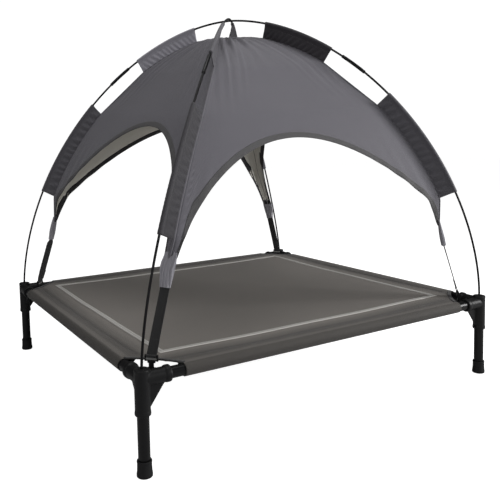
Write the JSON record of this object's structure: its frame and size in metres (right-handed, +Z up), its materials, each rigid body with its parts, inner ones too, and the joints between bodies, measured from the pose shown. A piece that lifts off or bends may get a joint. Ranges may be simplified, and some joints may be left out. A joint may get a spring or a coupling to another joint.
{
  "type": "dog bed with frame",
  "caption": "Raised pet bed: a taut fabric deck on a tube frame with legs, and a removable arched sunshade canopy on crossed bent poles, held down by hooked corner straps",
  "frame": {"origin": "on the floor under the middle of the bed, at the bottom centre of the bounding box", "axes": "+Z up; +X along the long side of the bed, towards the right seen from the front; -Y faces the front"},
  "size_m": [0.937, 0.855, 0.9092],
  "materials": {
    "black_plastic": "moulded satin black nylon",
    "black_steel": "smooth semi-gloss black powder coat on steel tube",
    "black_rubber": "moulded matt black rubber",
    "black_fibreglass": "smooth black glass-fibre rod",
    "bed_cloth": "taut dark taupe-grey coated oxford weave",
    "border_tape": "woven light grey tape, stitched along both edges",
    "canopy_cloth": "thin dark grey coated oxford weave",
    "sleeve_cloth": "thin dark grey coated oxford weave, sewn and puckered",
    "black_webbing": "flat woven black webbing"
  },
  "bodies": {
    "bed": {"corner_connector_front_left": "black_plastic", "corner_connector_front_right": "black_plastic", "corner_connector_back_right": "black_plastic", "corner_connector_back_left": "black_plastic", "leg_tube_front_left": "black_steel", "leg_tube_front_right": "black_steel", "leg_tube_back_right": "black_steel", "leg_tube_back_left": "black_steel", "rubber_foot_front_left": "black_rubber", "rubber_foot_front_right": "black_rubber", "rubber_foot_back_right": "black_rubber", "rubber_foot_back_left": "black_rubber", "side_tube_front": "black_steel", "side_tube_right": "black_steel", "side_tube_back": "black_steel", "side_tube_left": "black_steel", "bed_fabric": "bed_cloth", "bed_border_tape": "border_tape", "pole_middle_over": "black_fibreglass", "pole_middle_under": "black_fibreglass", "pole_end_front_left": "black_fibreglass", "pole_end_front_right": "black_fibreglass", "pole_end_back_right": "black_fibreglass", "pole_end_back_left": "black_fibreglass", "pole_ferrule_front_left": "black_steel", "pole_ferrule_front_right": "black_steel", "pole_ferrule_back_right": "black_steel", "pole_ferrule_back_left": "black_steel", "canopy_panel_front": "canopy_cloth", "canopy_panel_right": "canopy_cloth", "canopy_panel_back": "canopy_cloth", "canopy_panel_left": "canopy_cloth", "pole_sleeve_upper_front_left": "sleeve_cloth", "pole_sleeve_upper_front_right": "sleeve_cloth", "pole_sleeve_upper_back_right": "sleeve_cloth", "pole_sleeve_upper_back_left": "sleeve_cloth", "pole_sleeve_lower_front_left": "sleeve_cloth", "pole_sleeve_lower_front_right": "sleeve_cloth", "pole_sleeve_lower_back_right": "sleeve_cloth", "pole_sleeve_lower_back_left": "sleeve_cloth", "corner_tab_front_left": "canopy_cloth", "corner_tab_front_right": "canopy_cloth", "corner_tab_back_right": "canopy_cloth", "corner_tab_back_left": "canopy_cloth", "corner_strap_front_left": "black_webbing", "corner_strap_front_right": "black_webbing", "corner_strap_back_right": "black_webbing", "corner_strap_back_left": "black_webbing"},
    "hook_front_left": {"strap_hook_front_left": "black_plastic"},
    "hook_front_right": {"strap_hook_front_right": "black_plastic"},
    "hook_back_right": {"strap_hook_back_right": "black_plastic"},
    "hook_back_left": {"strap_hook_back_left": "black_plastic"}
  },
  "joints": [
    {"name": "hook_front_left_hinge", "type": "hinge", "parent": "bed", "child": "hook_front_left", "pos_m": [-0.41764, -0.37665, 0.2], "axis": [-0.7071, 0.7071, 0], "range_deg": [0, 45]},
    {"name": "hook_front_right_hinge", "type": "hinge", "parent": "bed", "child": "hook_front_right", "pos_m": [0.41764, -0.37665, 0.2], "axis": [-0.7071, -0.7071, 0], "range_deg": [0, 45]},
    {"name": "hook_back_right_hinge", "type": "hinge", "parent": "bed", "child": "hook_back_right", "pos_m": [0.41764, 0.37665, 0.2], "axis": [0.7071, -0.7071, 0], "range_deg": [0, 45]},
    {"name": "hook_back_left_hinge", "type": "hinge", "parent": "bed", "child": "hook_back_left", "pos_m": [-0.41764, 0.37665, 0.2], "axis": [0.7071, 0.7071, 0], "range_deg": [0, 45]}
  ]
}
